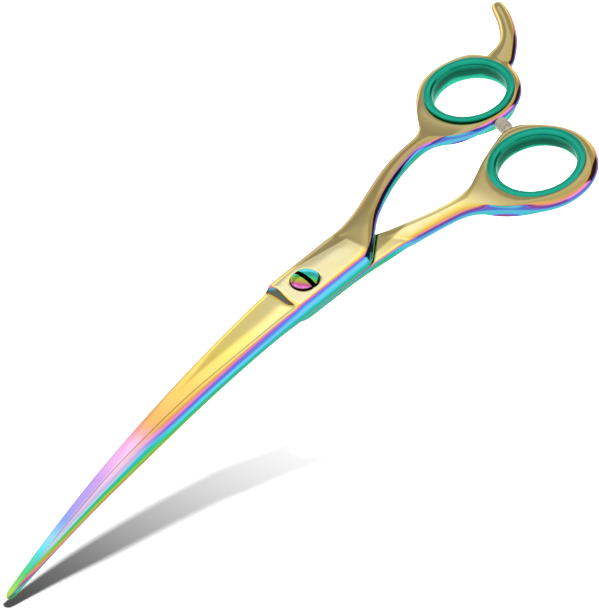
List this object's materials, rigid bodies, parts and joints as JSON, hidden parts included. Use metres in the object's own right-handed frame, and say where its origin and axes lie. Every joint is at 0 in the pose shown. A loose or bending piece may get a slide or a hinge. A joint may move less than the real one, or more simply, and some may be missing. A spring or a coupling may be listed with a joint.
{
  "type": "barber shears",
  "caption": "Curved hair shears with two bowed plain blades on a slotted pivot screw, soft-lined finger and thumb rings, a fixed finger rest and a ribbed bumper.",
  "frame": {"origin": "on the pivot axis, on the flat back of the pivot bushing (outer flat of the rear half)", "axes": "+Z along the pivot axis towards the screw head, +X towards the rings, +Y towards the finger ring; the blades point along -X"},
  "size_m": [0.2329, 0.0661, 0.0176],
  "materials": {
    "rainbow_steel": "mirror-polished steel with a rainbow titanium coating",
    "spring_steel": "bright spring steel",
    "washer_plastic": "matte white",
    "bushing_steel": "turned steel",
    "green_insert": "glossy, slightly translucent",
    "clear_rubber": "clear, slightly milky"
  },
  "bodies": {
    "front": {"front_half": "rainbow_steel", "finger_insert": "green_insert", "spring_washer": "spring_steel"},
    "rear": {"rear_half": "rainbow_steel", "thumb_insert": "green_insert", "bumper": "clear_rubber", "pivot_bushing": "bushing_steel", "friction_washer": "washer_plastic"},
    "screw": {"pivot_screw": "rainbow_steel"}
  },
  "joints": [
    {"name": "blade_pivot", "type": "hinge", "parent": "front", "child": "rear", "pos_m": [0, 0, 0], "axis": [0, 0, -1], "range_deg": [0, 70]},
    {"name": "tension_screw", "type": "hinge", "parent": "rear", "child": "screw", "pos_m": [0, 0, 0], "axis": [0, 0, -1], "range_deg": [-45, 45]}
  ]
}
